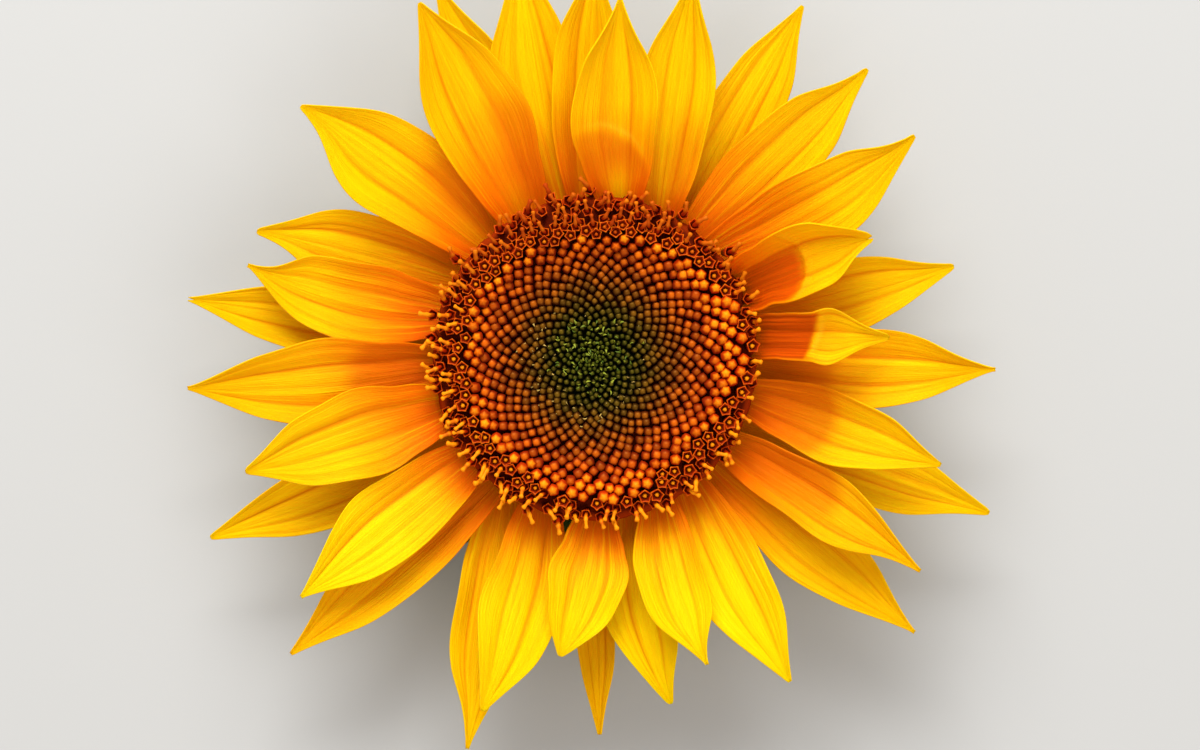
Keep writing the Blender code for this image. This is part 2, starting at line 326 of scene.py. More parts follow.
def leafMaterial(name, dark, light, vein):
    nodes = newMaterial(name)
    place = nodes.objectPlace()
    along, across = nodes.attributes("along", "across")
    cloud = nodes.noise(place, 160.0, 4.0)
    fine = nodes.noise(place, 1500.0, 3.0)
    strand = nodes.noise(nodes.vector(across * 14.0, along * 1.5, 0.0), 1.0, 3.0)
    colour = nodes.mix(nodes.smooth(cloud, 0.3, 0.75), dark, light)
    colour = nodes.mix(nodes.smooth(strand, 0.52, 0.75) * 0.5, colour, vein)
    rib = nodes.smooth((across - 0.5).maths("ABSOLUTE"), 0.05, 0.0)
    colour = nodes.mix(rib * 0.6, colour, vein)
    colour = nodes.mix(nodes.smooth(fine, 0.55, 0.75) * 0.35, colour, vein)
    return finishMaterial(nodes, colour, 0.55 + fine * 0.25, strand * 0.5 + fine * 0.5, 0.6, 0.0005,
                          Specular_IOR_Level=0.3)


def cutMaterial():
    nodes = newMaterial("cutPith")
    place = nodes.add("ShaderNodeMapping", None, {"Vector": nodes.objectPlace(),
                                                  "Location": (-axisX, -axisY, 0.0)})
    reach = nodes.vectorMaths("LENGTH", nodes.vectorMaths("MULTIPLY", place, (1, 1, 0)), out="Value")
    grain = nodes.noise(place, 2200.0, 3.0)
    colour = nodes.mix(grain, (0.55, 0.56, 0.36), (0.75, 0.76, 0.58))
    colour = nodes.mix(nodes.smooth(reach, 0.0048, 0.0066), colour, (0.24, 0.34, 0.09))
    return finishMaterial(nodes, colour, 0.7, grain, 0.7, 0.0006)


# shared mesh helpers

def newObject(name, data):
    item = bpy.data.objects.new(name, data)
    scene.collection.objects.link(item)
    return item


def addPiece(name, mesh, materials, slot, *replaced):
    piece = newObject(name, mesh)
    for material in materials:
        mesh.materials.append(material)
    mesh.shade_smooth()
    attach(piece, "root")
    if replaced:
        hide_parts(*replaced)
    return piece


def setAttribute(mesh, name, values):
    attribute = mesh.attributes.new(name, "FLOAT", "POINT")
    attribute.data.foreach_set("value", np.asarray(values, np.float32).ravel())


def gridFaces(rows, columns):
    return [(r * columns + c, r * columns + c + 1, (r + 1) * columns + c + 1, (r + 1) * columns + c)
            for r in range(rows - 1) for c in range(columns - 1)]


def splineThrough(knots, values, wanted):
    # natural cubic curve through rows of values
    steps = np.diff(knots)
    size = len(knots)
    system, right = np.eye(size), np.zeros((size, values.shape[1]))
    slopes = np.diff(values, axis=0) / steps[:, None]
    for i in range(1, size - 1):
        system[i, i - 1:i + 2] = steps[i - 1], 2 * (steps[i - 1] + steps[i]), steps[i]
        right[i] = 6 * (slopes[i] - slopes[i - 1])
    bends = np.linalg.solve(system, right)
    left = np.clip(np.searchsorted(knots, wanted, side="right") - 1, 0, size - 2)
    step = steps[left][:, None]
    before, after = (wanted - knots[left])[:, None], (knots[left + 1] - wanted)[:, None]
    return ((bends[left] * after**3 + bends[left + 1] * before**3) / (6 * step)
            + (values[left] / step - bends[left] * step / 6) * after
            + (values[left + 1] / step - bends[left + 1] * step / 6) * before)


def solidRows(node, columns):
    # a petal's or bract's solid as rows from base to tip: right edge, middle and left edge of each row
    points = np.unique(np.round([vertex.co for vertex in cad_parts[node].data.vertices], 6), axis=0)
    fromAxis = np.hypot(points[:, 0] - axisX, points[:, 1] - axisY)
    base = points[np.argsort(fromAxis)[:2 * columns], :2].mean(0)
    chord = points[np.argmax(fromAxis), :2] - base
    length = np.hypot(*chord)
    chord, side = chord / length, np.array((-chord[1], chord[0])) / length
    order = np.argsort((points[:, :2] - base) @ chord)
    rows = points[order].reshape(-1, 2 * columns, 3)
    lines = []
    for row in rows:
        row = row[np.argsort((row[:, :2] - base) @ side)]
        middle = row[columns - 1:columns + 1].mean(0)
        lines.append((row[:2].mean(0), middle, row[-2:].mean(0)))
    lines = np.array(lines)
    knots = ((lines[:, 1, :2] - base) @ chord)
    return (knots - knots[0]) / (knots[-1] - knots[0]), lines, length


def leafSurface(node, columns, along, across):
    # smooth surface through the solid's rows, its half width and its length; across runs from -1 to 1
    knots, lines, length = solidRows(node, columns)
    right, middle, left = (splineThrough(knots, lines[:, i], along) for i in range(3))
    half = np.linalg.norm(left - right, axis=1) / 2
    right, middle, left = right[:, None], middle[:, None], left[:, None]
    v = across[:, :, None]
    return middle + (left - right) / 2 * v + ((left + right) / 2 - middle) * v**2, half, length


def surfaceNormals(surface):
    normals = np.cross(np.gradient(surface, axis=0), np.gradient(surface, axis=1))
    normals /= np.linalg.norm(normals, axis=2, keepdims=True) + 1e-12
    return normals * np.sign(normals[:, :, 2:3] + 1e-9)


def easeStep(values, low, high):
    x = np.clip((values - low) / (high - low), 0, 1)
    return x * x * (3 - 2 * x)


def hill(values, width):
    return np.exp(-(values / width) ** 2)


def leafMesh(name, surface, attributes):
    rows, columns = surface.shape[:2]
    mesh = bpy.data.meshes.new(name)
    mesh.from_pydata(surface.reshape(-1, 3).tolist(), [], gridFaces(rows, columns))
    if mesh.polygons[0].normal.z < 0:
        mesh.flip_normals()
    for title, values in attributes.items():
        setAttribute(mesh, title, np.broadcast_to(values, (rows, columns)))
    return mesh


def thicken(piece, thickness, backSlot=0):
    shell = piece.modifiers.new("thickness", "SOLIDIFY")
    shell.thickness, shell.offset = thickness, 0.0
    shell.material_offset = backSlot
    shell.material_offset_rim = 0


# ray petals

# a petal's solid gives its outline and its bow; these add creases, edges and colour
petalShape = dict(
    rows=84, columns=44, thickness=0.00035,
    creaseAt=0.38, creaseDepth=1.05 * mm, creaseWidth=0.13, pleats=6, pleatDepth=0.24 * mm,
    cup=0.9 * mm, edgeLift=0.7 * mm, wave=0.6 * mm, tipPinch=1.2 * mm, tipLift=1.2 * mm, tuck=2.0 * mm,
    ruffle=0.035, taperLeft=0.16, taperRight=0.16, baseWiden=0.22, bulgeLeft=0.0, bulgeRight=0.0,
    bulgeAt=0.5, foldAt=0.5, fold=0.0, spoon=0.0, notch=0.0, rollLeft=0.0, lip=0.0,
    fade=0.0, warm=0.0, paintedShadeSide=0.50, paintedBaseLight=0.0, paintedHighlight=0.0,
    inside=0.0, insideTo=0.4, insideSide=0.0, insideEdge=0.05, insideArc=0.08, insideSlant=0.0)

# what sets each petal apart: fade turns it yellow nearer its base, partly its own colour and partly painted
# light;
# the wedge paints light shining through its base, warm paints shade where positive and sunlight where
# negative, inside paints a shadow over its inner part, and shine paints a highlight line past that shadow
petalStyle = {
    1: dict(taperLeft=0.05, bulgeLeft=0.06, bulgeRight=0.04, warm=0.10, inside=0.36, insideTo=0.52,
            insideSide=-1, insideEdge=0.10, paintedBaseLight=0.5),
    2: dict(fade=0.30, warm=-0.10, paintedBaseLight=0.4),
    3: dict(fade=0.12, warm=0.0, bulgeLeft=0.14, bulgeAt=0.62, taperLeft=0.0, paintedBaseLight=0.3),
    4: dict(fade=0.06, inside=0.25, insideTo=0.35, insideSide=1, insideEdge=0.10, paintedBaseLight=0.5),
    5: dict(fade=0.12, cup=2.0 * mm, inside=0.42, insideTo=0.33, insideEdge=0.04, insideArc=0.10,
            insideSlant=0.09, paintedHighlight=0.30, bulgeLeft=0.12, bulgeAt=0.30, taperLeft=0.25, paintedShadeSide=0.2,
            paintedBaseLight=0.9),
    6: dict(fade=0.22, inside=0.34, insideTo=0.42, insideSide=-1, insideEdge=0.10, warm=-0.1, paintedBaseLight=0.3),
    7: dict(fade=0.20, warm=0.04),
    8: dict(taperLeft=0.34, fade=0.05),
    9: dict(taperLeft=0.36, warm=0.04),
    10: dict(fade=0.16, cup=3.2 * mm, rollLeft=0.22, notch=1.8 * mm, inside=0.90, insideTo=0.50,
             lip=0.8 * mm, insideSide=-0.60, insideEdge=0.07, insideArc=0.16, paintedHighlight=0.12, baseWiden=0.5,
             taperLeft=-0.1, paintedShadeSide=0.0),
    11: dict(taperLeft=0.25, fade=0.02, inside=0.3, insideTo=0.3),
    12: dict(foldAt=0.50, fold=6.0 * mm, inside=0.95, insideTo=0.50, insideEdge=0.025, insideSlant=0.05,
             insideArc=0.02, lip=0.5 * mm, paintedHighlight=0.30, taperRight=0.3, baseWiden=0.5, fade=0.1,
             paintedShadeSide=0.0, spoon=0.30),
    13: dict(warm=0.10, inside=0.50, insideTo=0.34),
    14: dict(inside=0.50, insideTo=0.45, fade=0.06),
    15: dict(fade=0.18, warm=0.04),
    16: dict(warm=0.20, taperRight=0.36, inside=0.45, insideTo=0.55, insideSide=0.6),
    17: dict(warm=0.06, inside=0.3, insideTo=0.5, insideSide=1),
    18: dict(fade=0.10, taperLeft=0.05, warm=-0.45),
    19: dict(fade=0.12, warm=-0.45),
    20: dict(fade=0.12, warm=-0.45),
    21: dict(fade=0.10, taperLeft=0.05, taperRight=0.05, warm=-0.45),
    22: dict(warm=0.20),
    23: dict(fade=0.08, creaseDepth=1.6 * mm, warm=-0.45),
    24: dict(fade=0.18, taperRight=0.3),
    25: dict(warm=0.24, inside=0.25, insideTo=0.4),
    26: dict(fade=0.05, taperLeft=0.05, warm=-0.45),
    27: dict(fade=0.18, warm=0.05),
    28: dict(fade=0.04, edgeLift=1.2 * mm),
    29: dict(warm=0.14, inside=0.50, insideTo=0.36, insideSide=-0.5, edgeLift=1.2 * mm),
    30: dict(notch=1.4 * mm, fade=0.10, warm=0.03),
    31: dict(warm=0.08, taperRight=0.45, taperLeft=0.0),
    32: dict(fade=0.12, warm=0.04, taperLeft=0.32, paintedBaseLight=0.3),
    33: dict(fade=0.04, taperLeft=0.25, bulgeLeft=0.20, bulgeAt=0.62, taperRight=0.05, inside=0.25,
             insideTo=0.42, insideSide=-1, paintedBaseLight=0.5),
    34: dict(fade=0.5, warm=-0.3),
}


def petalOutline(shape, t, v, rng):
    # each row's stretch across the petal: wide at the base, wavy at the edges, drawn in before the tip
    left = v > 0
    near = easeStep(t, 0.70, 0.93) * (1 - easeStep(t, 0.96, 1.0))
    taper = np.where(left, shape["taperLeft"], shape["taperRight"]) * near
    first, second = rng.uniform(0, math.tau, 2)
    waves = np.where(left, np.sin(math.tau * 1.9 * t + first), np.sin(math.tau * 2.3 * t + second))
    bulge = np.where(left, shape["bulgeLeft"], shape["bulgeRight"])
    bulge = bulge * hill(t - shape["bulgeAt"], 0.22)
    spoon = shape["spoon"] * hill(t - shape["foldAt"] - 0.10, 0.13)
    return v * (1 - taper + bulge + spoon + shape["ruffle"] * waves * easeStep(t, 0.1, 0.3)
                + shape["baseWiden"] * (1 - easeStep(t, 0.0, 0.25)))


def insideLimit(shape, v):
    # how far out the painted shadow over the inner part reaches
    return shape["insideTo"] + shape["insideSlant"] * v - shape["insideArc"] * v**2


def petalCreases(shape, t, v, rng):
    # two deep creases and a few fine pleats: how far they sink, and how strongly painted shade darkens them
    dip, creaseShade = np.zeros((len(t), v.shape[1])), np.zeros((len(t), v.shape[1]))
    lines = [(side * shape["creaseAt"] * rng.uniform(0.75, 1.2),
              shape["creaseDepth"] * rng.uniform(0.55, 1.2), shape["creaseWidth"]) for side in (-1, 1)]
    lines += [(rng.uniform(-0.85, 0.85), shape["pleatDepth"] * rng.uniform(0.4, 1.5),
               rng.uniform(0.03, 0.07)) for _ in range(shape["pleats"])]
    for place, depth, width in lines:
        away = np.abs(v - place - rng.uniform(-0.10, 0.10) * np.sin(math.pi * t))
        dip += depth * np.exp(-away / width)
        creaseShade += depth / shape["creaseDepth"] * hill(away, 0.045)
    return dip, creaseShade


def petalRelief(shape, t, v, half, rng):
    # height added over the smooth surface, and how strongly painted shade darkens its creases
    share = half[:, None] / half.max()
    dip, creaseShade = petalCreases(shape, t, v, rng)
    reach = share**0.7 * easeStep(t, -0.05, 0.15) * (1 - easeStep(t, 0.84, 1.0))
    lift = shape["cup"] * v**2 * share
    lift += shape["edgeLift"] * rng.uniform(-0.6, 1.0) * easeStep(np.abs(v), 0.6, 1.0) * share
    phase, cycles = rng.uniform(0, math.tau), rng.uniform(1.3, 2.4)
    lift += shape["wave"] * np.sin(math.tau * cycles * t + phase + 0.8 * np.sign(v)) * v**2 * share
    lift += shape["tipPinch"] * np.abs(v) ** 1.5 * easeStep(t, 0.62, 0.95) * share
    lift += shape["tipLift"] * rng.uniform(-1.0, 1.0) * easeStep(t, 0.7, 1.0)
    lift += shape["lip"] * hill(t - insideLimit(shape, v) - 0.02, 0.022) * (1 - v**4)
    lift += shape["fold"] * np.minimum(t / shape["foldAt"], (1 - t) / (1 - shape["foldAt"]))
    return lift - dip * reach, np.clip(creaseShade * reach, 0, 1)


def rollEdge(shape, surface, half, t, v):
    # carries the petal's left edge up and over towards its middle
    axis = surface[:, surface.shape[1] // 2][:, None]
    side = np.clip((v - 0.35) / 0.65, 0, 1)
    turn = side * np.sin(math.pi * np.clip(t, 0, 1)) ** 0.5 * shape["rollLeft"] * math.pi
    reach = half[:, None] * 0.65 * side
    out = (surface - axis) * np.array((1, 1, 0))
    out /= np.linalg.norm(out, axis=2, keepdims=True) + 1e-9
    surface = surface - out * (reach * (1 - np.sinc(turn / math.pi)))[:, :, None]
    surface[:, :, 2] += reach * (1 - np.cos(turn)) / np.maximum(turn, 1e-3)
    return surface


# painted light shining through the petal's base, as a yellow wedge
def paintedBaseLightWedge(shape, t, v):
    return shape["paintedBaseLight"] * hill(v, 0.45) * (1 - easeStep(t, 0.05, 0.26))


def petalTints(shape, surface, t, v, rng):
    # painted shade: the half that turns from the sun is painted warmer, and some petals get a painted
    # shadow over their inner part with a painted highlight line past it
    outward = surface[-1].mean(0) - surface[0].mean(0)
    away = outward[0] / np.linalg.norm(outward)
    # painted shade on the half turned from the sun
    side = easeStep(v * away, 0.0, 0.55) * (1 - easeStep(t, 0.25, 0.70)) * shape["paintedShadeSide"]
    warm = np.clip(shape["warm"] + rng.uniform(-0.03, 0.05) + side, -1, 1)
    far, slope = insideLimit(shape, v), shape["insideSide"]
    past = easeStep((t - far) / shape["insideEdge"], -1, 1)
    # painted shadow over the inner part, fading out past its limit
    inside = shape["inside"] * easeStep(t, -0.02, 0.08) * (1 - past)
    if slope:
        inside = inside * easeStep(v * np.sign(slope) + 1 - abs(slope), -0.05, 0.25)
    inside = inside * (1 - 0.7 * easeStep(np.abs(v), 0.88, 1.0))
    inside = inside * (1 - np.clip(paintedBaseLightWedge(shape, t, v), 0, 1))
    # painted highlight line just past the painted shadow
    paintedHighlight = shape["paintedHighlight"] * hill(t - far - 0.03, 0.022) * (1 - v**2)
    return {"warm": warm, "inside": np.clip(inside - paintedHighlight, -1, 1)}


def buildPetal(number, materials):
    node = f"ray_petal_{number:02d}"
    shape = {**petalShape, **petalStyle[number]}
    rng = np.random.default_rng(100 + number)
    along = np.linspace(0, 1, shape["rows"])
    across = np.sin(np.linspace(-1, 1, shape["columns"] + 1) * math.pi / 2 * 0.92)
    t, v = along[:, None], (across / across[-1])[None, :]
    surface, half, length = leafSurface(node, 5, along, petalOutline(shape, t, v, rng))
    lift, creaseShade = petalRelief(shape, t, v, half, rng)
    surface = surface + surfaceNormals(surface) * lift[:, :, None]
    if shape["rollLeft"]:
        surface = rollEdge(shape, surface, half, t, v)
    outward = surface[-1].mean(0) - surface[0].mean(0)
    outward /= np.linalg.norm(outward)
    # the base runs into the dish, and a notched tip draws back
    surface = surface - outward * (shape["tuck"] * (1 - easeStep(t, 0.0, 0.10)))[:, :, None]
    surface = surface - outward * (shape["notch"] * (1 - np.abs(v)) * easeStep(t, 0.8, 1.0))[:, :, None]
    # along moves outward with fade, partly the petal's own colour and partly painted light, and with the
    # painted light of the base wedge
    golden = t * length / 0.055 * (1 + shape["fade"]) + shape["fade"] * easeStep(t, 0, 0.12) * 0.5
    # dip carries the painted shade in the creases; warm, inside and shine carry painted shade, shadow and
    # highlight
    mesh = leafMesh(node + "_surface", surface, {
        "along": golden + 0.34 * paintedBaseLightWedge(shape, t, v), "across": (v + 1) / 2, "dip": creaseShade,
        "tone": rng.uniform(0, 1), **petalTints(shape, surface, t, v, rng)})
    piece = addPiece(f"petal{number:02d}", mesh, materials, "petal", node)
    thicken(piece, shape["thickness"], 1)


# bracts

bractShape = {"rows": 40, "columns": 18, "thickness": 0.0005, "rib": 0.35 * mm, "ribWidth": 0.10,
              "veins": 0.12 * mm, "wave": 0.6 * mm, "curl": 0.8 * mm}


def buildBract(number, material):
    node = f"bract_{number:02d}"
    rng = np.random.default_rng(400 + number)
    along = np.linspace(0, 1, bractShape["rows"])
    across = np.linspace(-1, 1, bractShape["columns"] + 1)
    t, v = along[:, None], across[None, :]
    surface, half, length = leafSurface(node, 3, along, v * np.ones_like(t))
    share = half[:, None] / half.max()
    lift = -bractShape["rib"] * hill(v, bractShape["ribWidth"]) * (1 - easeStep(t, 0.7, 1.0))
    lift = lift + bractShape["veins"] * np.cos(v * 4.5 * math.pi) * share * (1 - easeStep(t, 0.6, 0.95))
    lift = lift + bractShape["wave"] * np.sin(math.tau * 1.6 * t + rng.uniform(0, math.tau)) * v**2 * share
    lift = lift + bractShape["curl"] * np.abs(v) ** 3 * share * rng.uniform(-0.2, 1.0)
    surface = surface + surfaceNormals(surface) * lift[:, :, None]
    surface[:, :, 2] = np.maximum(surface[:, :, 2], 0.3 * mm)
    mesh = leafMesh(node + "_surface", surface, {"along": t, "across": (v + 1) / 2})
    piece = addPiece(f"bract{number:02d}", mesh, [material], "bract", node)
    thicken(piece, bractShape["thickness"])
    return piece


# neck and receptacle, turned with ribs

def ringFaces(rows, sides):
    # faces between rings of points that follow each other
    pairs = ((row * sides + k, row * sides + (k + 1) % sides)
             for row in range(rows - 1) for k in range(sides))
    return [(low, after, after + sides, low + sides) for low, after in pairs]


def profileRows(rows, low=0.0):
    # from rows of radius, height and rib height in mm
    return [(radius * mm, low + height * mm, rib * mm, 0) for radius, height, rib in rows]


def turnedMesh(name, profile, sides, ribs):
    # profile rows are (radius, height, rib height, material), from the underside out and up to the top
    points = []
    for radius, height, rib, _ in profile:
        for k in range(sides):
            turn = math.tau * k / sides
            wide = radius + rib * abs(math.cos(turn * ribs / 2)) ** 0.7
            points.append((axisX + wide * math.cos(turn), axisY + wide * math.sin(turn), height))
    faces = ringFaces(len(profile), sides)
    slots = [row[3] for row in profile[1:] for _ in range(sides)]
    for row, slot in ((0, profile[0][3]), (len(profile) - 1, profile[-1][3])):
        centre = len(points)
        points.append((axisX, axisY, profile[row][1]))
        for k in range(sides):
            pair = (row * sides + k, row * sides + (k + 1) % sides)
            faces.append((centre, *pair) if row else (centre, *reversed(pair)))
            slots.append(slot)
    mesh = bpy.data.meshes.new(name)
    mesh.from_pydata(points, [], faces)
    mesh.polygons.foreach_set("material_index", slots)
    flat = np.array(points)
    turns = np.arctan2(flat[:, 1] - axisY, flat[:, 0] - axisX) / math.tau * ribs
    setAttribute(mesh, "across", turns - np.floor(turns))
    setAttribute(mesh, "along", np.hypot(flat[:, 0] - axisX, flat[:, 1] - axisY) / rimRadius)
    return mesh


crownLine = ((0.0, 31.8), (4.0, 31.9), (9.7, 32.3), (18.0, 33.0), (23.0, 33.7), (26.5, 35.3), (29.5, 36.0),
             (33.0, 34.9), (36.6, 32.2))  # height of the floret tops over the disc, in mm


def crownHeight(radius):
    radii, heights = zip(*crownLine)
    return np.interp(radius / mm, radii, heights) * mm


dishShape = {
    "sides": 144, "ribs": 24,
    "underside": ((8.4, 0.0, 0.25), (9.6, 0.7, 0.4), (12.5, 1.9, 0.5), (17.0, 3.0, 0.5), (22.0, 4.0, 0.5),
                  (27.0, 4.9, 0.4), (31.0, 5.8, 0.2)),
    "shoulder": (0.4 * mm, 7.4 * mm), "wallStart": 9.5 * mm, "wallEnd": 1.4 * mm, "top": (30.0, 20.0, 10.0),
}


def buildReceptacle(green, bed):
    low, high = dishLow.z, dishHigh.z
    inset, rise = dishShape["shoulder"]
    profile = profileRows(dishShape["underside"], low)
    profile += [(rimRadius - inset, low + rise, 0.0, 0), (rimRadius, low + dishShape["wallStart"], 0.0, 0),
                (rimRadius, high - dishShape["wallEnd"], 0.0, 0)]
    profile += [(radius * mm, high, 0.0, 1) for radius in dishShape["top"]]
    mesh = turnedMesh("receptacle_turned", profile, dishShape["sides"], dishShape["ribs"])
    return addPiece("receptacleDish", mesh, [green, bed], "stem", "receptacle")


bedShape = {
    "sides": 160, "ribs": 40, "lift": 0.3 * mm, "hole": 3.0, "drop": 2.6 * mm,
    "rim": ((35.0, 30.8, 0.3), (35.5, 31.1, 0.4), (34.8, 31.5, 0.3)),
    "rings": (32.6, 30.0, 26.0, 20.0, 14.0, 8.0, 3.0),
}


def buildBed(bed):
    # the floor of the disc, which reaches out over the petals' bases; its dark maroon is partly the disc's
    # own colour and partly painted shade between the florets
    low = dishHigh.z + bedShape["lift"]
    profile = [(bedShape["hole"] * mm, low, 0.0, 0), (rimRadius, low, 0.0, 0)]
    profile += profileRows(bedShape["rim"])
    profile += [(radius * mm, crownHeight(radius * mm) - bedShape["drop"], 0.0, 0)
                for radius in bedShape["rings"]]
    mesh = turnedMesh("bed_turned", profile, bedShape["sides"], bedShape["ribs"])
    return addPiece("floretBed", mesh, [bed], "open_florets", "disc_open_florets")


neckShape = {
    "sides": 120, "ribs": 12, "cut": 6.6,
    "skin": ((7.1, 0.25, 0.25), (7.2, 1.5, 0.35), (7.0, 4.0, 0.4), (7.2, 6.5, 0.45), (7.8, 8.6, 0.4)),
    "top": (8.3 * mm, 0.25 * mm, 0.25 * mm),
}


def buildNeck(green, cut):
    radius, lift, rib = neckShape["top"]
    profile = [(neckShape["cut"] * mm, 0.0, 0.0, 1), *profileRows(neckShape["skin"]),
               (radius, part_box("stem_stub")[1].z + lift, rib, 0)]
    mesh = turnedMesh("neck_turned", profile, neckShape["sides"], neckShape["ribs"])
    return addPiece("neck", mesh, [green, cut], "stem", "stem_stub")


# florets: small shapes set out on a golden spiral

def shapeMesh(name, points, faces, heights, kinds):
    mesh = bpy.data.meshes.new(name)
    mesh.from_pydata(points, [], faces)
    mesh.shade_smooth()
    setAttribute(mesh, "height", heights)
    setAttribute(mesh, "kind", kinds)
    shape = newObject(name, mesh)
    shape.hide_render = True
    return shape


def turnedShape(profile, sides, lobes, rise=0.0, lean=0.0):
    # profile rows are (radius, height, lobe depth, shade height, kind); the last row closes in a point;
    # shade height places the painted shade low down and the painted highlight on top
    top = profile[-1][1]
    points, heights, kinds = [], [], []
    for radius, height, lobe, shade, kind in profile[:-1]:
        for k in range(sides):
            turn = math.tau * k / sides
            wave = lobe * math.cos(lobes * turn)
            wide = radius * (1 + wave)
            points.append((wide * math.cos(turn) + lean * (height / top) ** 3, wide * math.sin(turn),
                           height + rise * wave))
            heights.append(shade + rise * wave)
            kinds.append(kind)
    _, height, _, shade, kind = profile[-1]
    points.append((lean, 0, height))
    last = (len(profile) - 2) * sides
    faces = ringFaces(len(profile) - 1, sides)
    faces += [(last + k, last + (k + 1) % sides, len(points) - 1) for k in range(sides)]
    faces.append(tuple(reversed(range(sides))))
    return points, faces, heights + [shade], kinds + [kind]


def bentTube(path, radii, sides, shades, kind, flat=1.0):
    # a closed tube along a path in the XZ plane
    points, heights = [], []
    path = np.array(path, float)
    for i, (x, z) in enumerate(path):
        ahead = path[min(i + 1, len(path) - 1)] - path[max(i - 1, 0)]
        ahead /= np.hypot(*ahead)
        for k in range(sides):
            turn = math.tau * k / sides
            out = radii[i] * math.cos(turn) * flat
            points.append((x - out * ahead[1], radii[i] * math.sin(turn), z + out * ahead[0]))
            heights.append(shades[i])
    faces = [(a, d, c, b) for a, b, c, d in ringFaces(len(path), sides)]
    faces.append(tuple(range(sides)))
    faces.append(tuple(reversed(range((len(path) - 1) * sides, len(path) * sides))))
    return points, faces, heights, [kind] * len(points)


def joined(*parts):
    points, faces, heights, kinds = [], [], [], []
    for somePoints, someFaces, someHeights, someKinds in parts:
        faces += [tuple(len(points) + i for i in face) for face in someFaces]
        points += somePoints
        heights += someHeights
        kinds += someKinds
    return points, faces, heights, kinds


def budShape():
    rows = ((0.34, 0.0, 0.0, 0.0, 0), (0.47, 0.50, 0.06, 0.35, 0), (0.49, 0.86, 0.08, 0.62, 0),
            (0.44, 1.10, 0.08, 0.85, 0), (0.26, 1.26, 0.04, 1.00, 0), (0.0, 1.33, 0.0, 1.1, 0))
    return shapeMesh("smallBud", *turnedShape(rows, 8, 4, 0.0, 0.14))


def bigBudShape():
    rows = ((0.30, 0.0, 0.0, 0.0, 0), (0.42, 0.7, 0.03, 0.30, 0), (0.47, 1.08, 0.05, 0.60, 0),
            (0.44, 1.36, 0.07, 0.80, 0), (0.30, 1.62, 0.08, 0.95, 0), (0.10, 1.76, 0.06, 1.08, 0),
            (0.0, 1.79, 0.0, 1.1, 0))
    return shapeMesh("bigBud", *turnedShape(rows, 10, 5, 0.2, 0.08))


def openFloret(height):
    # a tube with five lobes round its mouth
    rows = ((0.28, 0.0, 0.0, 0.0, 0), (0.38, 0.6 * height, 0.04, 0.5, 0),
            (0.45, 0.88 * height, 0.09, 0.84, 0), (0.49, height, 0.14, 0.95, 0),
            (0.42, 1.02 * height, 0.14, 0.98, 0),
            (0.34, 0.88 * height, 0.08, 0.5, 1), (0.22, 0.66 * height, 0.0, 0.0, 1),
            (0.0, 0.60 * height, 0.0, 0.0, 1))
    return turnedShape(rows, 10, 5, 0.5)


def starShape():
    dot = ((0.06, 0.8, 0.0, 1.0, 2), (0.17, 1.10, 0.0, 1.0, 2), (0.17, 1.36, 0.10, 1.1, 2),
           (0.0, 1.46, 0.0, 1.1, 2))
    return shapeMesh("starFloret", *joined(openFloret(1.6), turnedShape(dot, 6, 3)))


def tubeShape(path):
    radii = (0.16, 0.17, 0.16, 0.22, 0.16, 0.15, 0.23, 0.15)
    shades = (0.1, 0.35, 0.55, 0.95, 0.75, 0.85, 1.1, 1.1)
    return shapeMesh("antherTube", *joined(openFloret(1.25), bentTube(path, radii, 6, shades, 1.9)))


def shortTubeShape():
    return tubeShape(((0.0, 0.5), (0.02, 1.15), (0.08, 1.55), (0.24, 1.86), (0.40, 2.02), (0.50, 2.10),
                      (0.74, 2.22), (0.84, 2.25)))


def longTubeShape():
    return tubeShape(((0.0, 0.5), (0.03, 1.05), (0.12, 1.40), (0.34, 1.66), (0.50, 1.76), (0.80, 1.88),
                      (1.0, 1.96), (1.12, 1.98)))


def spikeShape():
    path = ((0.0, 0.0), (0.03, 0.5), (0.12, 1.0), (0.34, 1.40), (0.68, 1.62))
    radii = (0.22, 0.30, 0.24, 0.14, 0.01)
    return shapeMesh("bractSpike", *bentTube(path, radii, 4, (0.0, 0.4, 0.8, 1.0, 1.0), 0, 0.35))


def hairShape():
    path, radii = ((0.0, 0.0), (0.02, 0.5), (0.12, 1.0)), (0.045, 0.03, 0.004)
    return shapeMesh("hair", *bentTube(path, radii, 3, (0.0, 0.5, 1.0), 0))


# lines round the disc, as distances in mm at every eighth of a turn from +X
rings = {
    "centre": (0.0,) * 8,
    "green": (9.4, 10.0, 10.4, 9.6, 9.2, 9.6, 8.6, 9.0),
    "gold": (13.0, 12.0, 12.0, 14.0, 17.0, 18.0, 16.0, 14.0),
    "big": (27.2, 26.6, 23.4, 25.6, 25.4, 26.0, 26.8, 26.0),
    "star": (33.2, 30.4, 26.4, 28.2, 28.2, 29.0, 31.0, 28.8),
    "tube": (34.0, 31.8, 28.6, 30.4, 30.6, 31.2, 32.4, 32.0),
    "long": (34.2, 33.6, 33.4, 33.6, 33.8, 33.6, 33.8, 33.6),
    "edge": (35.4, 36.0, 36.4, 36.2, 36.2, 35.8, 35.6, 35.6),
}
lineScale = 40.0  # mm, the range of the curves below


def newTree(name, inputs):
    tree = bpy.data.node_groups.new(name, "GeometryNodeTree")
    for title, kind in inputs.items():
        tree.interface.new_socket(name=title, in_out="INPUT", socket_type="NodeSocket" + kind)
    tree.interface.new_socket(name="Geometry", in_out="OUTPUT", socket_type="NodeSocketGeometry")
    nodes = Nodes(tree)
    return tree, nodes, nodes.outputs("NodeGroupInput")


